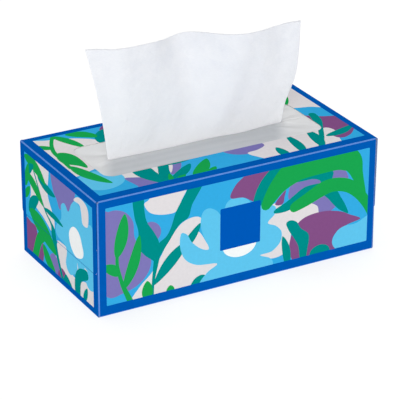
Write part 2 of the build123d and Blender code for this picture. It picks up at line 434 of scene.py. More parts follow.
def bloom(centre, tips, waist=0.6):
    """Flower with one rounded petal to each tip: in polar form its outline passes a notch at
    waist times the petals' reach, a shoulder, the tip and the other shoulder."""
    arms = np.array(tips, float) - centre
    arms = arms[np.argsort(np.arctan2(arms[:, 1], arms[:, 0]))]
    angle, reach = np.arctan2(arms[:, 1], arms[:, 0]), np.hypot(arms[:, 0], arms[:, 1])
    gap = (np.roll(angle, -1) - angle) % (2 * pi)
    before = np.roll(gap, 1)
    turns = [angle - 0.27 * before, angle, angle + 0.27 * gap, angle + 0.5 * gap]
    radii = [0.93 * reach, reach, 0.93 * reach, waist * (reach + np.roll(reach, -1)) / 2]
    a, r = np.stack(turns, 1).ravel(), np.stack(radii, 1).ravel()
    return patch(*(np.array(centre) + np.stack([r * np.cos(a), r * np.sin(a)], 1)))


print("an oval has", len(oval((0, 0), 2, 1)), "outline points")

# %% [markdown]
# ## From outlines to ink on a panel
#
# The outlines of one panel are cut against each other into a flat map of triangles, and each
# triangle takes the ink of the last shape laid over it. The map is kept inside the panel's
# field and out of its opening, given the thickness of a coat of ink and varnish, and set on
# the board. The ink is a colour on the faces, so its edges are as sharp as print. The finish
# only reads that colour and makes it a little uneven, as ink on board is.

# %% Finish of the print


def printed_finish():
    """Ink from the faces, a little uneven, on board under a thin satin varnish."""
    finish, tree, shader = new_finish("print", Specular_IOR_Level=0.0)
    place = add_node(tree, "TexCoord", output=3)
    laid = add_node(tree, "VertexColor", layer_name="ink")
    density = grain(tree, place, 420, 4.0, 0.975, 1.02)
    tint = add_node(tree, "VectorMath", {0: laid, "Scale": density}, operation="SCALE")
    tree.links.new(tint, shader.inputs["Base Color"])
    tree.links.new(grain(tree, place, 900, 2.0, 0.38, 0.5), shader.inputs["Roughness"])
    press_in(tree, shader, grain(tree, place, 2600, 5.0), 0.00001, 0.4)
    return finish


printed = printed_finish()
print("print finish has", len(printed.node_tree.nodes), "nodes")

# %% [markdown]
# A field is the rectangle that a panel's print fills. The first shape of a panel is its ground,
# and every later shape covers what it overlaps. A Delaunay triangulation that keeps the
# outlines as edges does the cutting, and tells which outlines each triangle is inside.

# %% Cut overlapping shapes into a flat map
SNAP = 0.001  # outline points closer than this are one point
INSIDE = 1  # asks for the triangles inside the outlines only


def cut_shapes(field, shapes, hole):
    """Points, triangles and an ink for each triangle, inside the field and outside the hole.
    The ink is that of the last shape that covers the triangle."""
    outlines = [field, *[outline for outline, _ in shapes]] + ([] if hole is None else [hole])
    inks = np.array([shapes[0][1], *[colour for _, colour in shapes]])
    area = [np.cross(o, np.roll(o, -1, 0)).sum() for o in outlines]
    outlines = [o if a > 0 else o[::-1] for o, a in zip(outlines, area)]
    ends = np.cumsum([len(o) for o in outlines])
    loops = [list(range(end - len(o), end)) for o, end in zip(outlines, ends)]
    points, _, triangles, _, _, owners = delaunay_2d_cdt(
        [Vector(p) for p in np.vstack(outlines)], [], loops, INSIDE, SNAP, True)
    top = np.array([max(own) if 0 in own else -1 for own in owners])
    kept = (top >= 0) & (top < len(inks))

    points, faces = np.array(points), np.array(triangles)[kept]
    a, b, c = (points[faces[:, i]] for i in range(3))
    turned = np.cross(b - a, c - a) < 0
    faces[turned] = faces[turned][:, ::-1]
    used, faces = np.unique(faces, return_inverse=True)
    return points[used], faces.reshape(-1, 3), inks[top[kept]]


def rounded_field(left, right, low, high, radius=0.6):
    """Rectangle with a quarter of a circle at each corner."""
    a = np.linspace(0, pi / 2, 5)
    corner = radius * np.stack([np.cos(a), np.sin(a)], 1)
    spots = ((right, high, 0), (left, high, 1), (left, low, 2), (right, low, 3))
    arcs = []
    for x, y, quarter in spots:
        c, s = np.cos(quarter * pi / 2), np.sin(quarter * pi / 2)
        inward = np.sign([x - (left + right) / 2, y - (low + high) / 2])
        arcs.append(corner @ np.array([[c, s], [-s, c]]) + (x, y) - radius * inward)
    return np.vstack(arcs)


print("a field has", len(rounded_field(0, 2, 0, 2)), "outline points")

# %% [markdown]
# The flat map is set on its panel and given the thickness of a coat of ink. Only its outer face
# shows the shapes' inks, and its back and its rim keep the ground's.

# %% Lay the map on a panel
COAT = 0.02  # thickness of ink and varnish


def placed(shapes, shift, stretch=(1.0, 1.0)):
    """Shapes with their outlines stretched and then moved."""
    return [(outline * np.array(stretch) + shift, colour) for outline, colour in shapes]


def lay_print(name, origin, right, up, field, shapes, hole=None):
    """One panel's print. origin is the panel's corner in millimetres, right and up are the
    directions of the two coordinates that field, shapes and hole are drawn in."""
    flat, faces, inks = cut_shapes(field, shapes, hole)
    right, up = np.array(right, float), np.array(up, float)
    base = np.array(origin) + flat[:, :1] * right + flat[:, 1:] * up
    points = np.vstack([base + COAT * np.cross(right, up), base])
    piece = make_piece(name, points, two_sided(faces, len(base)), printed, False)

    mesh = piece.data
    colours = np.tile(shapes[0][1], (len(mesh.polygons), 1))
    colours[: len(faces)] = inks
    corners = np.zeros(len(mesh.polygons), int)
    mesh.polygons.foreach_get("loop_total", corners)
    attribute = mesh.color_attributes.new("ink", "FLOAT_COLOR", "CORNER")
    attribute.data.foreach_set("color", np.repeat(colours, corners, axis=0).ravel())


print(f"a print is {COAT} mm thick")

# %% [markdown]
# ## The inks
#
# The pattern uses eight flat inks and the white of the board. A press lays one flat ink over
# another, so every shape below is an outline and an ink.

# %% Inks of the pattern
SKY = ink(53, 172, 228)
PETAL = ink(96, 198, 238)
GREEN = ink(26, 165, 80)
TEAL = ink(0, 142, 138)
VIOLET = ink(127, 120, 184)
PLUM = ink(132, 80, 134)
PALE = ink(226, 222, 224)
WHITE = ink(246, 249, 249)
LABEL = ink(0, 88, 184)
print("eight inks and the white")

# %% [markdown]
# ## Front panel
#
# Coordinates are millimetres from the panel's lower left corner. The plain blue square is the
# place for a maker's label and is left bare.

# %% Shapes of the front print
FRONT_PATTERN = [
    (rounded_field(0, 234, 0, 91), SKY),
    (patch((2, 78), (9, 80.5), (16, 80), (23, 76), (28, 68), (29, 56), (35, 45), (42, 36), (40, 26),
        (32, 18), (20, 14), (6, 14.5), (-4, 40)), VIOLET),
    (patch((37, 80), (41, 73), (48, 69.5), (57, 68), (63, 69), (67, 76), (72, 90), (46, 90), (41, 83)),
        PALE),
    (patch((26, 4), (33, 16), (42, 24), (49, 34), (57, 47), (67, 58), (78, 61), (84, 57), (79, 45),
        (77, 36), (74, 28), (82, 24), (97, 19), (88, 12), (74, 4), (50, 0)), PALE),
    (oval((43, 57), 14, 17, 25, 0.03), VIOLET),
    (patch((77, 48), (82, 48), (88, 38), (92, 30), (84, 32), (78, 39)), PALE),
    (patch((74, 4), (78, 11), (85, 13), (91, 8), (90, 0), (78, -2)), TEAL),
    (patch((137, 43), (143, 55), (150, 56), (154, 50), (166, 50.5), (176, 50.5), (183, 46), (185.5, 41),
        (184, 37), (169, 37), (161, 30), (159, 18), (153, 13), (144, 12), (133, 16), (146, 23),
        (148, 33)), PALE),
    (leaf((44, 14), (72, 43), 9.8, 1, 0.55), TEAL),
    (leaf((66, 36), (83, 55), 7, -1), TEAL),
    (patch((67, 50), (66, 40), (70, 29), (80, 22), (97, 19), (89, 14), (82, 6), (84, -2), (114, -3),
        (143, 0), (145, 8), (142, 13), (134, 17), (144, 18), (151, 24), (152, 32), (147, 38),
        (140, 42), (146, 48), (146, 54), (138, 57), (128, 59), (122, 65), (113, 69), (105, 66),
        (101, 57), (96, 62), (90, 65), (85, 63), (83, 55), (85, 45), (90, 33), (84, 34), (76, 41),
        (72, 48)), PETAL),
    (oval((116, 30), 28, 20, 0, 0.03, 2), WHITE),
    (patch((108, 69), (111, 77), (118, 83), (130, 89), (146, 90), (147, 76), (139, 64), (130, 61),
        (119, 67)), PLUM),
    (patch((146, 56), (150, 61), (155, 65), (154, 60), (153, 55), (149, 54)), PLUM),
    (leaf((128, 56), (157, 91), 14, 2), TEAL),
    (patch((158, 57), (157.5, 63), (160, 68), (170, 70), (180, 69.5), (187, 64), (180, 58), (166, 56)),
        VIOLET),
    (patch((195.5, 73), (204, 72), (208.5, 67), (209, 62), (200, 60), (195, 64)), VIOLET),
    (patch((160, 70), (180, 73), (195, 72), (195.6, 66), (193, 60), (187, 62), (184, 66.6), (178, 68.8),
        (168, 69)), TEAL),
    (patch((175, 52), (188, 56), (200, 54), (201, 44), (192, 38), (185, 39), (182.8, 46)), VIOLET),
    (patch((159, 20), (163, 32), (172, 39), (187, 40.5), (202, 37.5), (213, 32), (221.6, 27),
        (210, 24.5), (200, 20), (197, 12), (203, 0), (180, -2), (165, 3), (160, 11)), PLUM),
    (patch((197, 14), (201, 21), (208, 24), (218, 24), (234, 28), (238, 4), (222, -2), (206, 2),
        (199, 8)), PETAL),
    (oval((186, 7), 18, 13), TEAL),
    (stem((138.5, 57, 9), (142.6, 63, 12), (148.5, 70, 15), (157, 76.5, 19), (168, 81, 21),
        (188, 82, 21), (203, 81, 20), (213, 75, 17), (217.7, 64, 10), (222, 51, 6.4), (225.5, 40, 4),
        (229, 30, 3)), GREEN),
    (patch((145, 50), (148, 52.3), (155, 55), (162, 59), (169, 63), (176, 64.4), (186, 63), (180, 54),
        (160, 48.5), (152, 47.5), (146, 48.2)), TEAL),
    (patch((189, 54), (199, 55), (204, 48), (208, 41), (210.5, 34), (204, 37.5), (198, 43), (193, 49)),
        TEAL),
    (stem((163, 49.6, 8.5), (173, 53.2, 10.5), (187, 58.8, 12), (198, 60, 11), (210, 56.5, 10.5),
        (219, 49, 9), (226, 40, 8), (231, 30, 6)), GREEN),
    (patch((169, 2), (167, 16), (163, 24), (158, 32), (156, 38), (160, 39.5), (165, 37), (169, 31),
        (176, 24), (175, 12), (173, 2)), TEAL),
    (leaf((158, 2), (153, 28), 7, -1), TEAL),
    (patch((73, 88), (71, 82), (63, 69), (59, 58), (55, 51), (47, 45), (47, 34), (56, 45), (65, 57),
        (73, 62), (76, 71), (83, 82), (86, 88)), TEAL),
    (patch((28, 88), (36, 88), (37, 76), (39, 66), (45, 56), (49, 46), (48, 30), (44, 34), (37, 40),
        (32, 48), (32, 60), (29, 72)), TEAL),
    (stem((47, 36, 5), (44, 18, 2.4), (43, 4, 2.4)), TEAL),
    (leaf((39, 3), (39, 19), 9), GREEN),
    (leaf((58, 3), (58, 11), 7), GREEN),
    (stem((27, 2, 4.8), (22.5, 12, 4), (18.5, 22, 3.2), (15, 36, 2.8), (14.8, 46, 2.6)), GREEN),
    (leaf((14.5, 43), (21.3, 76), 10, -1), GREEN),
    (leaf((20, 17), (33, 57), 9, -2), GREEN),
    (leaf((17, 29), (3, 39), 8, -1), GREEN),
    (rounded_field(99.5, 133.5, 28.5, 62, 1.0), LABEL),
]
print("front pattern has", len(FRONT_PATTERN), "shapes")

# %% [markdown]
# The back panel carries the same print, because one cylinder prints both. Each field leaves a
# border of 6 to 8 mm, where the board's own finish shows.

# %% Print the front and back panels
PRINT_STRETCH = (0.989, 1.0)  # the pattern comes out a little short across
FRONT_SHIFT = (1.5, 1.0)
front_field = rounded_field(7.4, length - 7, 8, height - 6.4)
front_shapes = placed(FRONT_PATTERN, FRONT_SHIFT, PRINT_STRETCH)
half_length, half_depth = length / 2, depth / 2
for name, side in (("front_print", -1), ("back_print", 1)):
    corner = (side * half_length, side * half_depth, 0)
    lay_print(name, corner, (-side, 0, 0), (0, 0, 1), front_field, front_shapes)

# %% [markdown]
# ## End panels
#
# Each end is closed by two flaps, and both carry their part of one picture. Coordinates run
# from the edge that is on the left when the end is looked at.

# %% Shapes of the left end's print
LEFT_PATTERN = [
    (rounded_field(-5, 130, -5, 96), SKY),
    (patch((2, 60), (4, 88), (44, 88), (44, 64), (54, 48), (52, 36), (36, 42), (16, 48)), PALE),
    (patch((2, 84), (10, 88), (14, 66), (14, 50), (2, 46)), SKY),
    (patch((56, 4), (57, 30), (66, 34), (76, 32), (80, 18), (92, 16), (104, 20), (120, 18), (122, 2),
        (80, 0)), PALE),
    (patch((52, 88), (53, 72), (59, 66), (64, 60), (70, 65), (77, 64), (84, 70), (88, 88)), VIOLET),
    (patch((57, 44), (59, 37), (73, 33.5), (71.5, 21), (78, 15), (88, 20), (98, 25), (108, 17),
        (118, 20), (122, 34), (122, 58), (114, 68), (104, 64), (98, 74), (90, 77), (83, 72),
        (78, 64), (72, 68), (66, 64), (66, 54)), PETAL),
    (patch((78.3, 45.5), (80.5, 51.5), (86, 55.6), (92, 55.4), (96.5, 52), (99, 47), (101.3, 41.5),
        (100, 37), (95, 34), (88, 33.2), (81.5, 37.5)), WHITE),
    (patch((87, 77), (94, 82), (104, 82), (110, 77), (109, 65), (101, 64), (99, 72), (96, 77)), PALE),
    (patch((90, 30), (92, 24), (94, 20), (91, 23)), PALE),
    (patch((102, 31), (106, 30), (104, 28)), PALE),
    (patch((2, 29), (14, 30), (22, 29), (24, 18), (18, 4), (2, 2)), PLUM),
    (patch((24, 4), (28, 14), (33, 21), (35, 16), (31, 2)), PLUM),
    (patch((43, 13), (50, 20), (58, 17), (60, 6), (52, 2), (46, 4)), VIOLET),
    (patch((58, 8), (64, 14), (72, 11), (74, 3), (60, 2)), PLUM),
    (patch((66, 4), (71, 12), (80, 7), (82, 1), (70, 0)), TEAL),
    (leaf((27, 72), (57, 67), 7, -1.5), TEAL),
    (leaf((11, 37), (29, 55), 10, 1.5), TEAL),
    (leaf((37, 50), (69, 48), 5, 1), TEAL),
    (stem((20, 75, 1.6), (37, 51, 1.8), (48, 43, 2.4), (52, 38, 7), (54, 28, 7), (59, 18, 4),
        (66, 4, 4)), TEAL),
    (stem((90, 2, 9), (90.5, 15, 9.5), (95, 22, 9.5), (104, 26, 8)), TEAL),
    (leaf((100, 3), (106, 16), 6), TEAL),
    (leaf((5, 80), (41, 70), 10, 3), GREEN),
    (leaf((8.5, 65), (21, 78), 7, 1.5), TEAL),
    (leaf((6, 56), (12, 76), 7), GREEN),
    (leaf((6, 68), (36, 51), 9, 2), GREEN),
    (leaf((4, 46), (14, 58), 6), GREEN),
    (stem((35, 29, 10), (26, 20, 9), (18, 2, 9)), GREEN),
    (leaf((12, 39), (56, 21), 15, 2), GREEN),
    (leaf((33, 20), (54, 4), 10, -2), GREEN),
]
print("left end pattern has", len(LEFT_PATTERN), "shapes")

# %% [markdown]
# The right end has a plainer picture of its own, in the same inks.

# %% Shapes of the right end's print
RIGHT_PATTERN = [
    (rounded_field(-5, 130, -5, 96), SKY),
    (patch((4, 50), (10, 72), (30, 80), (44, 66), (38, 44), (18, 36)), PALE),
    (patch((70, 4), (78, 22), (98, 24), (112, 12), (104, 0)), VIOLET),
    (bloom((44, 40), [(18, 44), (32, 66), (58, 68), (72, 46), (62, 20), (34, 16)], 0.72), PETAL),
    (oval((45, 41), 13, 11, 20, 0.06), WHITE),
    (patch((86, 62), (92, 78), (108, 80), (118, 68), (106, 56)), PLUM),
    (stem((66, 90, 9), (74, 66, 8), (84, 46, 6), (88, 26, 5), (84, 2, 3)), TEAL),
    (leaf((84, 42), (116, 52), 10, 2), TEAL),
    (leaf((87, 28), (60, 14), 9, 2), TEAL),
    (stem((14, 3, 3), (16, 16, 3), (10, 30, 2)), GREEN),
    (leaf((15, 14), (40, 8), 9, 2), GREEN),
    (leaf((13, 24), (2, 42), 8, -1), GREEN),
    (leaf((74, 66), (48, 84), 9, 2), GREEN),
    (leaf((80, 56), (104, 70), 8, 2), GREEN),
]
print("right end pattern has", len(RIGHT_PATTERN), "shapes")

# %% [markdown]
# The upper flap is outside and the lower one behind it. As on a real carton, the two parts of
# the picture meet a millimetre out of register, with a shadow under the upper flap's edge.

# %% Print the end flaps
FLAP_EDGE = 33.3  # height of the upper flap's lower edge
LOWER_FLAP_IN = 0.53  # how far behind the upper flap's face the lower one lies
UPPER_SHIFT, LOWER_SHIFT = (1.8, 1.5), (1.4, 0.0)
upper_field = rounded_field(7.4, depth - 5.8, FLAP_EDGE + 0.4, height - 6.4, 0.3)
lower_field = rounded_field(7, depth - 7, 5.5, FLAP_EDGE + 2, 0.3)
flaps = (
    ("upper", half_length, upper_field, UPPER_SHIFT),
    ("lower", half_length - LOWER_FLAP_IN, lower_field, LOWER_SHIFT),
)
for end, side, pattern in (("left_end", -1, LEFT_PATTERN), ("right_end", 1, RIGHT_PATTERN)):
    for flap, out, field, shift in flaps:
        corner = (side * out, -side * half_depth, 0)
        shapes = placed(pattern, shift)
        lay_print(f"{end}_{flap}_print", corner, (0, side, 0), (0, 0, 1), field, shapes)

# %% [markdown]
# ## Top and bottom panels
#
# Coordinates run from the front left corner, with the back at 124. The opening is cut out when
# the print is laid, so the shapes may run across it.

# %% Shapes of the top print
TOP_PATTERN = [
    (rounded_field(0, 234, 0, 124), SKY),
    (patch((0, 50), (0, 112), (16, 113), (30, 109), (40, 104), (49, 96), (52, 80), (44, 62), (22, 50)),
        PALE),
    (patch((34.2, 26.5), (36, 35), (60, 36), (78, 34), (66, 22), (47, 20)), PALE),
    (oval((19, 31), 34, 32, 10, 0.03), PETAL),
    (patch((35, 25.5), (42, 24), (49, 19), (58, 4), (40, 0), (37, 13)), VIOLET),
    (patch((82, 101), (92, 112), (112, 114), (128, 106), (124, 96), (106, 90), (90, 92)), PALE),
    (patch((138, 124), (144, 110), (160, 104), (176, 108), (184, 124)), VIOLET),
    (patch((178, 88), (186, 100), (198, 104), (205, 96), (202, 86)), PETAL),
    (stem((78, 124, 4), (88, 110, 4), (102, 102, 4.4), (122, 99, 5), (142, 101, 5), (158, 94, 4)),
        GREEN),
    (leaf((90, 108), (108, 116), 8, 1.5), GREEN),
    (leaf((100, 102), (116, 90), 8, 1), GREEN),
    (leaf((124, 99), (142, 112), 9, -1.5), GREEN),
    (leaf((166, 88), (176, 112), 8, -1), TEAL),
    (leaf((184, 120), (200, 102), 8, -1), TEAL),
    (patch((58, 108), (62, 116), (72, 122), (74, 106), (64, 102)), PLUM),
    (leaf((49, 90), (62, 112), 9, 1), TEAL),
    (oval((138, 34), 35, 28, 0, 0.03, 2), VIOLET),
    (patch((135, 21.5), (145, 24), (153, 28), (160, 37), (208, 36), (214, 28), (208, 8), (206, -2),
        (149, -2), (141.5, 8)), PALE),
    (patch((204, 84), (204, 118), (234, 122), (236, 70.5), (222, 74.5)), PALE),
    (patch((206, 61), (212, 60), (220, 54.5), (234, 47), (236, 30), (230, 24), (220, 15), (210, 14),
        (206, 30)), PLUM),
    (oval((210, 27), 9, 16), PALE),
    (stem((24, 120, 3), (16, 106, 3), (11, 92, 3.4), (10, 78, 3.4), (9, 60, 3)), GREEN),
    (leaf((22, 118), (35, 88), 8, 1), GREEN),
    (patch((32, 116), (40, 118), (48, 114), (53, 105), (50, 101), (43, 105), (36, 110)), GREEN),
    (leaf((14, 97), (4, 107), 7, 1), GREEN),
    (patch((8, 70), (8, 80), (12, 88), (18, 86), (22, 77), (22, 62), (20, 55), (16, 61), (11, 66)),
        GREEN),
    (leaf((10, 63), (24, 23), 10, -2), GREEN),
    (patch((68, 16), (72, 24), (77, 31), (84, 32), (81, 25), (74, 17)), VIOLET),
    (patch((46, 34), (59, 34), (60, 24), (61, 14), (63, 5), (55.5, 6), (49.5, 14), (45.5, 24)), TEAL),
    (patch((73, 30), (76.5, 30), (72, 22), (69, 19)), PALE),
    (patch((60, 20), (63.5, 28), (67, 34), (74.5, 34), (69.5, 21.5), (65, 10), (63, 3), (58, 8)), TEAL),
    (leaf((73, 32), (92, 33), 4), TEAL),
    (leaf((65, 8), (89, 26), 8, -1), TEAL),
    (leaf((62.5, 5), (67.5, 18), 4), GREEN),
    (leaf((67, 6), (77, 11), 4.5), GREEN),
    (leaf((81, 5), (104, 28), 10, -1.5), GREEN),
    (leaf((91, 3), (103, 13), 6), GREEN),
    (leaf((159, 1), (159, 21), 8), TEAL),
    (leaf((173, 2), (177, 36), 8, -1), TEAL),
    (leaf((191, 6), (196, 38), 9, -1), TEAL),
    (stem((184, 0, 3.4), (197, 18, 4), (207, 36, 4.5), (213, 50, 7), (215.5, 61, 6)), TEAL),
    (leaf((203, 21), (232, 30), 8, -2), TEAL),
    (leaf((207, 85), (217, 100), 3), GREEN),
]
print("top pattern has", len(TOP_PATTERN), "shapes")

# %% [markdown]
# The top's print runs up to the edge of the opening. The bottom has only the border and a pale
# field.

# %% Print the top and bottom panels
OPENING_LENGTH, OPENING_DEPTH, OPENING_ROUND = 183.4, 58.0, 8.0
TOP_SHIFT = (1.5, 0.3)
opening = rounded_field(
    half_length - OPENING_LENGTH / 2, half_length + OPENING_LENGTH / 2,
    half_depth - OPENING_DEPTH / 2, half_depth + OPENING_DEPTH / 2, OPENING_ROUND)
top_field = rounded_field(7.4, length - 6.2, 8.6, depth - 6.4)
lay_print("top_print", (-half_length, -half_depth, height), (1, 0, 0), (0, 1, 0),
          top_field, placed(TOP_PATTERN, TOP_SHIFT, PRINT_STRETCH), opening)

bottom_field = rounded_field(6, length - 6, 6, depth - 6)
lay_print("bottom_print", (-half_length, half_depth, 0), (1, 0, 0), (0, -1, 0),
          bottom_field, [(rounded_field(0, length, 0, depth), PALE)])

# %% [markdown]
# ## Film
#
# The film is thin polyethylene, milky and a little glossy. It is flat where it is glued under
# the panel. In the opening it is drawn round the sheet: the sheet presses the front lip of the
# slit down by about a millimetre, the rear lip stands a little proud, and creases run from the
# slit's ends towards the carton's ends. A cloth simulation could wrinkle it, but creases in a
# stretched film fan out in a regular way, which a few sines describe.

# %% Heights of the film
SLIT_HALF = 86.0  # half the slit's length
FAN_IN = 30  # how far inside the slit's end a fan's middle is
FOOT_LEFT, FOOT_RIGHT = -75.4, 70.5  # where the standing sheet's edges pass the slit
FOOT_MIDDLE, FOOT_HALF = (FOOT_LEFT + FOOT_RIGHT) / 2, (FOOT_RIGHT - FOOT_LEFT) / 2
# Each fan of creases: the slit's end, creases in a full turn, their phase and their height.
FANS = ((-1, 9, 0.4, 0.42), (1, 8, 1.9, 0.46), (-1, 17, 2.2, 0.12), (1, 15, 0.9, 0.13))
EASE = 7.0  # width over which the film comes free of the board


def free_share(x, y):
    """0 where the film is glued, 1 in the opening, with a smooth cubic step between."""
    share = 1.0
    for place, size in ((x, OPENING_LENGTH), (y, OPENING_DEPTH)):
        t = np.clip((size / 2 + 1 - np.abs(place)) / EASE, 0, 1)
        share = share * t * t * (3 - 2 * t)
    return share


def film_creases(x, y):
    """Sum of fans of creases, each a sine of the angle round a point inside one slit end that
    fades with distance, and of one straight ridge in front of the sheet's right half."""
    total = 0
    for end, count, phase, size in FANS:
        from_end = x * end - (SLIT_HALF - FAN_IN)
        near = np.exp(-(((from_end - 24) / 22) ** 2) - (y / 17) ** 2)
        total = total + size * near * np.sin(count * np.arctan2(y, from_end) + phase)
    beside = np.sin(radians(12)) * (x - 38) + np.cos(radians(12)) * (y + 19.5)
    return total + 0.5 * np.exp(-((beside / 2.4) ** 2)) * np.exp(-(((x - 38) / 24) ** 2))


print(f"film is free over {free_share(0, np.linspace(0, film_high[1], 81)).mean():.0%} of its depth")

# %% [markdown]
# The film is a ring of points between the slit and its own outer edge, so the slit is a clean
# cut. A flat grid with a hole in it would have stepped edges there.

# %% Shape of the film
LIP_FRONT, LIP_REAR = 0.6, 1.3  # how far each lip is from the slit's line


def film_surface(around=560, across=64):
    """Points of the film's upper face: straight lines from the slit's lips to the outer edge,
    with a height that sums the lips, the creases, two slow ripples and a sag."""
    a = np.linspace(0, 2 * pi, around, endpoint=False)
    c, s = np.cos(a), np.sin(a)
    front = s < 0
    slit_x = SLIT_HALF * c
    past_foot = np.clip((np.abs(slit_x - FOOT_MIDDLE) - FOOT_HALF + 1.2) / 3, 0, 1)
    lip = np.where(front, LIP_FRONT, LIP_REAR) * np.sign(s)
    lip = lip * (1 - 0.94 * past_foot) * (1 - np.abs(c) ** 30)
    inner = np.stack([slit_x, lip], 1)
    edge = 1 / (np.abs(c) ** 8 + np.abs(s) ** 8) ** (1 / 8)
    outer = np.stack([film_high[0] * edge * c, film_high[1] * edge * s], 1)
    t = (np.linspace(0, 1, across) ** 1.5)[:, None, None]
    flat = inner + t * (outer - inner)
    x, y = flat[..., 0], flat[..., 1]
    out = np.linalg.norm(flat - inner, axis=2)

    grip = (1 - np.abs(c) ** 4) * (1 - past_foot)
    dip = 1.1 * np.exp(-(((slit_x - 36) / 15) ** 2))
    lift = np.where(front, -0.95 + 0.25 * c - dip, 0.5)
    rise = grip * (lift * np.exp(-out / 14) + 0.25 * np.exp(-out / 1.5))
    crease = film_creases(x, y) * (1 - np.exp(-out / 4))
    ripple = 0.14 * np.sin(x / 17 + 0.21 * y) + 0.07 * np.sin(x / 9 - y / 5 + 1)
    sag = -0.25 * np.sin(pi * np.clip((np.abs(y) - 3) / 26, 0, 1))
    z = film_high[2] + free_share(x, y) * (rise + crease + ripple + sag)
    return np.stack([x, y, z], 2)


film_top = film_surface()
print(f"film stands {film_top[..., 2].max() - height:.2f} mm over the panel")

# %% [markdown]
# In front of the standing sheet the film spans the dark space below and mirrors the sheet. That
# grey is painted into the film's colour, a painted shade and a painted reflection of the sheet,
# fixed in place. Behind the sheet and towards the carton's ends it looks white.

# %% Finish of the film
# painted shade and reflection: the grey in front of the sheet stands for the dark space below and the
# sheet's reflection
FILM_PAINTED_SHADE, FILM_PALE = ink(195, 199, 203), ink(242, 243, 244)
STREAK = ink(232, 233, 235)
PAINTED_SHADE_LEAN = 0.56  # how far the grey part leans along X for each length along Y
PAINTED_SHADE_HALF, PAINTED_SHADE_END = 66 * MM, 80 * MM  # it fades between these distances from its middle


def film_finish():
    """Milky film: painted grey shade and painted reflection of the sheet in front of the standing
    sheet, pale behind it and past its sides, with faint streaks along the carton."""
    finish, tree, shader = new_finish("milky film", Roughness=0.3, Alpha=0.92)
    place = add_node(tree, "TexCoord", output=3)
    x, y, _ = parts_of(tree, place)
    skewed = math_node(tree, "SUBTRACT", x, math_node(tree, "MULTIPLY", y, PAINTED_SHADE_LEAN))
    from_middle = math_node(tree, "ABSOLUTE", math_node(tree, "ADD", skewed, 0.0025))
    past_sheet = smooth_rise(tree, from_middle, PAINTED_SHADE_HALF, PAINTED_SHADE_END)
    rear = smooth_rise(tree, y, 0.0, 0.006)
    drawn = add_node(tree, "Mapping", {"Vector": place, "Scale": (0.06, 1, 1)})
    streak = grain(tree, drawn, 90, 1.0)
    tone = mix_inks(tree, math_node(tree, "MAXIMUM", past_sheet, rear), FILM_PAINTED_SHADE, FILM_PALE)
    tone = mix_inks(tree, math_node(tree, "MULTIPLY", streak, 0.35), tone, STREAK)
    tree.links.new(tone, shader.inputs["Base Color"])
    press_in(tree, shader, streak, 0.0001, 0.3)
    return finish


milky = film_finish()
print("film finish has", len(milky.node_tree.nodes), "nodes")

# %% [markdown]
# The ring's last column joins its first, and a copy of it lies the film's thickness below.

# %% Make the film
FILM_THICK = 0.05
film_faces = grid_faces(*film_top.shape[:2], wrap=True)
film_points = np.concatenate([film_top, film_top - (0, 0, FILM_THICK)])
film_faces = two_sided(film_faces, film_top[..., 0].size)
film = make_piece("slit_film_skin", film_points, film_faces, milky)
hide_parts("slit_film")

# %% [markdown]
# ## Paper
#
# Facial tissue is creped: fine ridges run across the sheet, under a millimetre apart, with
# loose fibres between them. It is matt, a little bluish, and soft at grazing light. All of this
# is too fine for a mesh, so it is noise in the finish, laid on the sheet's own map where it has
# one, so that the ridges follow the folds.

# %% Finish of the paper
# painted light: lower down the sheet is painted whiter, against the shade that falls near the film
PAINTED_LIGHT_SPAN = (12 * MM, 84 * MM)  # between these lengths down from its top the sheet gets whiter


def paper_finish(name, map_name=None):
    """Creped paper. The ridges follow the sheet's own map if it has one."""
    # painted glow: the paper gives off a little light of its own, standing in for light that passes
    # through the thin sheet
    finish, tree, shader = new_finish(
        name, Roughness=0.9, Specular_IOR_Level=0.1, Sheen_Weight=0.15,
        Emission_Color=ink(232, 238, 248), Emission_Strength=0.05)
    place = add_node(tree, "TexCoord", output=3)
    if map_name:
        place = add_node(tree, "UVMap", uv_map=map_name)
    crepe = add_node(tree, "Mapping", {"Vector": place, "Scale": (0.3, 1, 1)})
    ridges = grain(tree, crepe, 1500, 3.0)
    fibres = grain(tree, place, 3800, 2.0)
    cloud = grain(tree, place, 90, 5.0)
    crumple = grain(tree, place, 150, 4.0)
    tone = mix_inks(tree, cloud, ink(230, 232, 238), ink(238, 239, 243))
    if map_name:
        # painted light: whiter towards the film, where shade falls
        down = add_node(tree, "SeparateXYZ", {"Vector": place}, output=1)
        whiter = {"Value": down, "From Min": PAINTED_LIGHT_SPAN[0], "From Max": PAINTED_LIGHT_SPAN[1]}
        foot = add_node(tree, "MapRange", whiter)
        tone = mix_inks(tree, foot, tone, ink(252, 252, 254))
    tone = mix_inks(tree, math_node(tree, "MULTIPLY", ridges, 0.25), tone, ink(250, 251, 252))
    tree.links.new(tone, shader.inputs["Base Color"])
    relief = math_node(tree, "ADD", ridges, math_node(tree, "MULTIPLY", fibres, 0.5))
    soft = press_in(tree, shader, crumple, 0.0006, 0.6)
    press_in(tree, shader, relief, 0.00006, 0.5, soft)
    return finish


paper = paper_finish("creped paper", "sheet")
print("paper finish has", len(paper.node_tree.nodes), "nodes")

# %% [markdown]
# ## The standing sheet
#
# A sheet is 208 mm across and 213 mm long. It lies folded in half on the block, turns up off it
# and stands through the slit. The slit is narrower than the sheet, so both sides of the sheet
# are folded behind it there, and the folds run out along the leaf that lies on the block.
#
# A simulated drape would lose the folds that the sheet was packed with, so the shape is a
# profile carried along a path. The path is the sheet's line from its top edge down to the
# block, back to the fold and forward again. The profile is the sheet's width: a shallow S at
# the top that dies away at the film, with a margin turned behind at each side.

# %% Path of the standing sheet
SHEET_ACROSS, SHEET_LENGTH = 208.0, 213.0
RISE = sheet_high[2] - film_high[2]  # height of the sheet over the film
BEND = 2.525  # radius where the sheet turns up off the block
TURN_TOP = 83.0  # height at which that turn is done
FOLD_RADIUS = 0.45  # of the fold at the back of the leaf
FOLD_IN = 0.575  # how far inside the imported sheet's end that fold's centre is


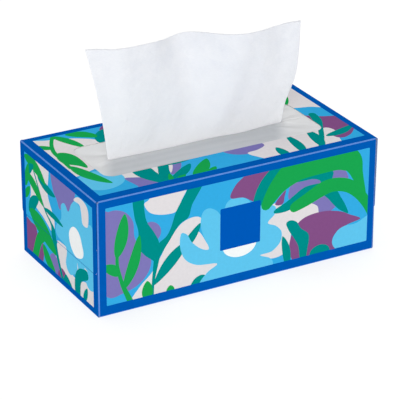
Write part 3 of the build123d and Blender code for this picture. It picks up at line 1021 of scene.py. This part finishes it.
def standing_path():
    """Points (y, z) down the middle of the sheet: straight down from its top edge, a quarter of
    a circle on to the block, back along the leaf, half a circle and forward again."""
    leaf_z = TURN_TOP - BEND
    fold_y = sheet_high[1] - FOLD_IN
    stand = np.stack([np.zeros(78), np.linspace(sheet_high[2], film_high[2], 78)], 1)
    neck = np.stack([np.zeros(5), np.linspace(film_high[2], TURN_TOP, 7)[1:-1]], 1)
    a = np.linspace(0, pi / 2, 10)
    turned = np.stack([BEND - BEND * np.cos(a), TURN_TOP - BEND * np.sin(a)], 1)
    upper = np.stack([np.linspace(BEND, fold_y, 26)[1:-1], np.full(24, leaf_z)], 1)
    a = np.linspace(0, pi, 9)
    fold_z = leaf_z - FOLD_RADIUS + FOLD_RADIUS * np.cos(a)
    fold = np.stack([fold_y + FOLD_RADIUS * np.sin(a), fold_z], 1)
    spent = RISE + (film_high[2] - TURN_TOP) + pi / 2 * BEND + (fold_y - BEND) + pi * FOLD_RADIUS
    lower_z = np.full(22, leaf_z - 2 * FOLD_RADIUS)
    lower = np.stack([np.linspace(fold_y, fold_y - (SHEET_LENGTH - spent), 23)[1:], lower_z], 1)
    return np.vstack([stand, neck, turned, upper, fold, lower])


path = standing_path()
path_step = np.linalg.norm(np.diff(path, axis=0), axis=1)
path_run = np.concatenate([[0], np.cumsum(path_step)])
print(f"the sheet's path is {path_run[-1]:.1f} mm long")

# %% [markdown]
# The profile: where the sheet's two side edges are at each step of the path, and how far the
# sheet stands behind the slit's line across its width.

# %% Profile of the standing sheet
# Top edge from left to right: how far behind the slit's line it is, and how its height changes.
CURVE = ((0, 14), (0.14, 4), (0.30, 5), (0.47, 11.5), (0.65, -11), (0.77, -13), (0.90, -8.5), (1, -9))
DIP = ((0, -0.8), (0.27, -0.3), (0.4, -1.8), (0.53, 0.2), (0.75, -0.5), (1, -0.6))
# Right side from the film up: how far outside its foot it is.
FLARE = ((0, 0), (0.2, 2.6), (0.42, 8.9), (0.65, 10.4), (1, 9.1))
LEFT_LEAN, LEFT_HOLLOW = 9.0, 1.6  # how far the left side leans out and is bowed in
NECK, NECK_SPREAD = 7.5, 4.0  # over this depth below the film, each side gains this width
FULL_WIDTH = 70  # length of the leaf's last part, which is fully spread


def drawn_through(points, at):
    """Height at some places of the smooth line through (place, height) points."""
    line = smooth_line(points, steps=60)
    return np.interp(at, line[:, 0], line[:, 1])


def side_edges(y, up):
    """The sheet's left and right edge at each step. Above the film they lean out; from the bend
    to the back fold they run straight to the sheet's full width."""
    half = SHEET_ACROSS / 2
    t = np.clip(up / RISE, 0, 1)
    left = FOOT_LEFT - LEFT_LEAN * t + LEFT_HOLLOW * np.sin(pi * t)
    right = FOOT_RIGHT + drawn_through(FLARE, t)
    neck = NECK_SPREAD * np.clip(-up / NECK, 0, 1)
    spread = np.clip((y - BEND) / (sheet_high[1] - 1.2 - BEND), 0, 1)
    spread[np.argmax(path_run > path_run[-1] - FULL_WIDTH):] = 1
    left = (left - neck) * (1 - spread) - half * spread
    right = (right + neck) * (1 - spread) + half * spread
    return left, right


def behind(share):
    """How far behind the slit's line the top edge is, at a share of the way across."""
    return drawn_through(CURVE, share)


up = path[:, 1] - film_high[2]
left_edge, right_edge = side_edges(path[:, 0], up)
curl = np.clip(up / RISE, 0, 1) ** 1.25
print(f"top edge runs from x {left_edge[0]:.1f} to {right_edge[0]:.1f} mm")

# %% [markdown]
# The margins: a fold is an arc of small radius that turns the margin right round behind the
# sheet. Along the leaf the margins get narrow and open out flat again.

# %% Margins of the standing sheet


def side_margins(width):
    """Width, fold radius and openness of the margins in each row. Both sides share what the
    profile's length leaves of the sheet's width."""
    fine = np.linspace(0, 1, 400)
    section = np.stack([width[:, None] * fine, curl[:, None] * behind(fine)], 2)
    run = np.linalg.norm(np.diff(section, axis=1), axis=2).sum(1)
    margin = np.clip((SHEET_ACROSS - run) / 2, 0.5, None)
    opened = np.clip((6 - margin) / 4, 0, 1)
    return margin, np.interp(up, [-NECK, 0, RISE], [0.2, 0.28, 0.55]), opened


def sheet_columns(width, margin, radius, opened):
    """Share across and distance behind for every column of each row. Columns run from the left
    margin's cut edge, round the left fold, over the front, round the right fold and back. At a
    distance d from the fold a margin has turned by d over the radius, up to its full turn."""
    dense = np.minimum(2.2, 0.5 * margin)[:, None] * np.linspace(0, 1, 12)[1:]
    rest = dense[:, -1:] + (margin[:, None] - dense[:, -1:]) * np.linspace(0, 1, 13)[1:]
    d = np.hstack([dense, rest])
    full = pi * (1 - opened)[:, None]
    r = radius[:, None]
    angle = np.minimum(d / r, full)
    straight = d - r * angle
    out = r * np.sin(angle) + straight * np.cos(angle)
    back = r * (1 - np.cos(angle)) + straight * np.sin(angle)
    share = np.broadcast_to(np.linspace(0, 1, 132), (len(width), 132))
    left = -out / width[:, None]
    shares = np.hstack([left[:, ::-1], share, 1 - left])
    level = np.zeros_like(share)
    return shares, np.hstack([back[:, ::-1], level, back]), np.hstack([d[:, ::-1], level, d])


sheet_width = right_edge - left_edge
print(f"margins are up to {side_margins(sheet_width)[0].max():.1f} mm wide")

# %% [markdown]
# The standing part isn't smooth: a few soft wrinkles run down it, less at its sides, where the
# folds stiffen it.

# %% Wrinkles of the standing sheet


def wrinkles(shares, rows):
    """Sum of four sines that run across the sheet and turn slowly on the way down, gentler at
    its sides and gone at the film."""
    waves = (
        0.50 * np.sin(2 * pi * (2.6 * shares + 0.0022 * rows) + 0.6)
        + 0.34 * np.sin(2 * pi * (4.3 * shares - 0.0040 * rows) + 2.1)
        + 0.20 * np.sin(2 * pi * (7.1 * shares + 0.0085 * rows) + 4.0)
        + 0.16 * np.sin(2 * pi * (1.7 * shares + 0.0190 * rows) + 1.2)
    )
    soft = np.clip(up / 12, 0, 1)[:, None] ** 2
    edge = np.clip(np.minimum(shares, 1 - shares) * 7, 0, 1)
    return soft * (0.35 + 0.65 * edge) * waves


rows = path_run[:, None]
print(f"wrinkles reach {wrinkles(np.linspace(0, 1, 200)[None, :], rows).max():.1f} mm")

# %% [markdown]
# Each row of the sheet stands square to the path at its place: the profile gives how far along
# X and how far behind the path a point is, and the margins stand off the profile's own normal.

# %% Points of the standing sheet


def standing_surface(width):
    """Middle surface of the sheet, its map in metres from the cut's corner, and the share of the
    width at which each point is. A point is the path's point, moved along X by its share of the
    width and along the path's normal by the curl, the margin's distance behind and the wrinkles."""
    shares, back, from_fold = sheet_columns(width, *side_margins(width))
    x = left_edge[:, None] + shares * width[:, None]
    step = 0.002
    slope = curl[:, None] * (behind(shares + step) - behind(shares - step))
    slope = slope / (2 * step * width[:, None])
    tilt = np.sqrt(1 + slope**2)
    off = curl[:, None] * behind(shares) + back / tilt
    x = x - back * slope / tilt

    along = np.gradient(path, axis=0)
    along /= np.linalg.norm(along, axis=1)[:, None]
    rear = np.stack([-along[:, 1], along[:, 0]], 1)
    off = off + wrinkles(shares, rows)
    y = path[:, :1] + rear[:, :1] * off
    z = path[:, 1:] + rear[:, 1:] * off
    high = np.clip(up / RISE, 0, 1)[:, None]
    tuck = 0.03 * np.minimum(back, 0.5) * high**2 * from_fold
    ragged = 0.10 * np.sin(19 * shares + 1) + 0.08 * np.sin(47 * shares)
    z = z - tuck + high**4 * drawn_through(DIP, shares) + high**8 * ragged

    steps = np.hypot(np.diff(x, axis=1), np.diff(off, axis=1))
    across = np.cumsum(np.hstack([np.zeros((len(x), 1)), steps]), 1)
    chart = np.stack([across, np.broadcast_to(rows, x.shape)], 2)
    return np.stack([x, y, z], 2), chart * MM, shares


middle, chart, shares = standing_surface(sheet_width)
print(f"sheet stands from z {middle[..., 2].min():.1f} to {middle[..., 2].max():.1f} mm")

# %% [markdown]
# A sheet's mesh carries a map of the flat sheet, so that the paper's ridges follow its folds.

# %% Turn a sheet's points into a piece


def surface_normals(points):
    """Unit normals of a grid: the cross product of its two directions."""
    across, down = np.gradient(points, axis=1), np.gradient(points, axis=0)
    normal = np.cross(across, down)
    return normal / np.linalg.norm(normal, axis=2)[..., None]


def make_sheet(name, near, far, chart):
    """A ply or sheet between its front points and the points behind them, with its own map."""
    faces = two_sided(grid_faces(*near.shape[:2])[:, ::-1], near[..., 0].size)
    piece = make_piece(name, np.concatenate([near, far]), faces, paper)
    mesh = piece.data
    corner = np.zeros(len(mesh.loops), int)
    mesh.loops.foreach_get("vertex_index", corner)
    uv = np.tile(chart.reshape(-1, 2), (2, 1))[corner]
    mesh.uv_layers.new(name="sheet").data.foreach_set("uv", uv.ravel())
    return piece


normal = surface_normals(middle)
print(f"{normal[..., 0].size} normals, {np.linalg.norm(normal, axis=2).mean():.3f} long")

# %% [markdown]
# The two plies lie together but part a little along the top edge, as they do once a sheet has
# been pulled. Each ply is a thin closed sheet, set off from the middle surface along its
# normal.

# %% Make the two plies
PLY = 0.09  # thickness of one ply
GAP = 0.02  # from the middle surface to each ply
high = np.clip((up[:, None] - 0.8 * RISE) / (0.2 * RISE), 0, 1) ** 2
parted = high * (0.10 + 0.08 * np.sin(11 * shares + 0.5))
for name, start in (("sheet_front_ply", -(GAP + PLY + parted)), ("sheet_back_ply", GAP + parted)):
    near, far = (middle + offset[..., None] * normal for offset in (start, start + PLY))
    make_sheet(name, near, far, chart)
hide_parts("raised_sheet")

# %% [markdown]
# ## The next sheet
#
# It lies on the block, folded round the free leaf of the standing sheet, and shows faintly
# through the film.

# %% Make the next sheet
HALF_SHEET = 0.125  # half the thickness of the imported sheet


def next_surface(columns=110):
    """The folded sheet: two level leaves joined by a half circle at the front, gently rippled."""
    fold_y = next_low[1] + FOLD_IN
    low_z, top_z = next_low[2] + HALF_SHEET, next_high[2] - HALF_SHEET
    lower = np.stack([np.linspace(next_high[1], fold_y, 46)[:-1], np.full(45, low_z)], 1)
    a = np.linspace(0, pi, 11)
    radius = (top_z - low_z) / 2
    turned = np.stack([fold_y - radius * np.sin(a), (low_z + top_z) / 2 - radius * np.cos(a)], 1)
    upper = np.stack([np.linspace(fold_y, next_high[1], 46)[1:], np.full(45, top_z)], 1)
    line = np.vstack([lower, turned, upper])
    x = np.linspace(next_low[0], next_high[0], columns)[None, :]
    y = np.broadcast_to(line[:, :1], (len(line), columns))
    z = line[:, 1:] + 0.04 * np.sin(x / 9 + y / 14) * np.cos(y / 11)
    run = np.concatenate([[0], np.cumsum(np.linalg.norm(np.diff(line, axis=0), axis=1))])
    x = np.broadcast_to(x, y.shape)
    chart = np.stack([x - next_low[0], np.broadcast_to(run[:, None], x.shape)], 2)
    return np.stack([x, y, z], 2), chart * MM


next_middle, next_chart = next_surface()
both_plies = (GAP + PLY) * surface_normals(next_middle)
next_piece = make_sheet("next_sheet_paper", next_middle - both_plies, next_middle + both_plies, next_chart)
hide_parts("next_sheet")

# %% [markdown]
# ## The block of sheets
#
# Under the first two sheets lie about 150 more, pressed into one block. Its sides show their
# folds as fine ridges, a little out of line with each other. Sheets that are never seen apart
# need no mesh each, so the block is one closed surface, and one ridge stands for two sheets.

# %% Make the block
LAYERS = 70
SHIFT = 0.25  # most that a layer is out of line


def block_surface(around=150, per_layer=4):
    """Side of the block: a rounded rectangle carried up through the layers. Its reach is drawn in
    between two layers as the cosine of the way through one, and each layer is shifted a little."""
    rows = LAYERS * per_layer + 1
    v = np.linspace(0, 1, rows)[:, None]
    a = np.linspace(0, 2 * pi, around, endpoint=False)[None, :]
    c, s = np.cos(a), np.sin(a)
    edge = 1 / (np.abs(c) ** 40 + np.abs(s) ** 40) ** (1 / 40)
    chance = np.random.default_rng(7)
    shift = chance.uniform(-SHIFT, SHIFT, (LAYERS + 1, 2))
    layer = np.minimum((v[:, 0] * LAYERS).astype(int), LAYERS - 1)
    drawn = 0.35 + 0.3 * np.cos(2 * pi * v * LAYERS)
    top = np.clip((np.minimum(v, 1 - v)) * 30, 0, 1) ** 0.5
    half = (block_high - block_low)[:2] / 2 - 0.3
    x = (half[0] - drawn - 2 * (1 - top)) * edge * c + shift[layer, :1]
    y = (half[1] - drawn - 2 * (1 - top)) * edge * s + shift[layer, 1:]
    z = block_low[2] + v * (block_high[2] - block_low[2]) + 0 * x
    return np.stack([x, y, z], 2)


def block_faces(rows, around):
    """Quads of the side and one many-sided face at each end."""
    side = grid_faces(rows, around, wrap=True)
    low = np.arange(around)[::-1]
    return side.tolist() + [low.tolist(), (np.arange(around) + (rows - 1) * around).tolist()]


block_points = block_surface()
sides_and_ends = block_faces(*block_points.shape[:2])
block = make_piece("sheet_block", block_points, sides_and_ends, paper_finish("stacked paper"))
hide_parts("tissue_stack")

# %% [markdown]
# ## Floor
#
# A plain near-white floor. It gives off some light of its own, so it stays white and lights the
# carton's upright sides from below, with only a faint shadow where the carton stands. It lies a
# hair under the carton's base, because two faces in the same place flicker.

# %% Make the floor


def floor_finish():
    """Grey with the faintest mottle and a glow of its own: under the lamps it comes out white."""
    finish, tree, shader = new_finish(
        "floor", Roughness=0.9, Specular_IOR_Level=0.0,
        Emission_Color=(1, 1, 1, 1), Emission_Strength=0.74)
    place = add_node(tree, "TexCoord", output=3)
    tone = mix_inks(tree, grain(tree, place, 3, 2.0), ink(160, 160, 160), ink(163, 163, 163))
    tree.links.new(tone, shader.inputs["Base Color"])
    return finish


FLOOR_REACH = 12.0  # metres from the carton to each side
FLOOR_UNDER = 0.03 * MM  # how far it lies under the carton's base
square = ((-1, -1), (1, -1), (1, 1), (-1, 1))
floor_corners = [(x * FLOOR_REACH, y * FLOOR_REACH, -FLOOR_UNDER) for x, y in square]
floor_mesh = bpy.data.meshes.new("floor")
floor_mesh.from_pydata(floor_corners, [], [(0, 1, 2, 3)])
floor_mesh.materials.append(floor_finish())
floor = bpy.data.objects.new("floor", floor_mesh)
bpy.context.scene.collection.objects.link(floor)
floor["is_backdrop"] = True
print(f"floor is {2 * FLOOR_REACH:.0f} m square")

# %% [markdown]
# ## Light
#
# An even sky and two large soft lamps: one overhead and one from the front left. An area lamp
# would fall off over the carton, so both are sun lamps. The wider the cone that such a lamp
# shines from, the softer the edge of its shadows.

# %% Set the light
world = bpy.data.worlds.new("studio")
bpy.context.scene.world = world
world.use_nodes = True
sky = world.node_tree.nodes["Background"]
sky.inputs["Color"].default_value = (1, 1, 1, 1)
sky.inputs["Strength"].default_value = 0.3
bpy.context.scene.view_settings.view_transform = "Standard"  # inks look as they were given


def soft_lamp(name, direction, strength, spread):
    """A sun lamp whose light comes from direction, over a cone of spread degrees."""
    lamp = bpy.data.lights.new(name, "SUN")
    lamp.energy, lamp.angle = strength, radians(spread)
    holder = bpy.data.objects.new(name, lamp)
    holder.rotation_euler = Vector(direction).to_track_quat("Z", "Y").to_euler()
    bpy.context.scene.collection.objects.link(holder)


soft_lamp("top_lamp", (0.1, 0.25, 1.0), 1.25, 70)
soft_lamp("front_lamp", (-0.5, -0.9, 0.45), 1.32, 40)
print("two lamps")

# %% Write the sizes
low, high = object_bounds()
print("visual box", [round(x / MM, 1) for x in low], [round(x / MM, 1) for x in high])
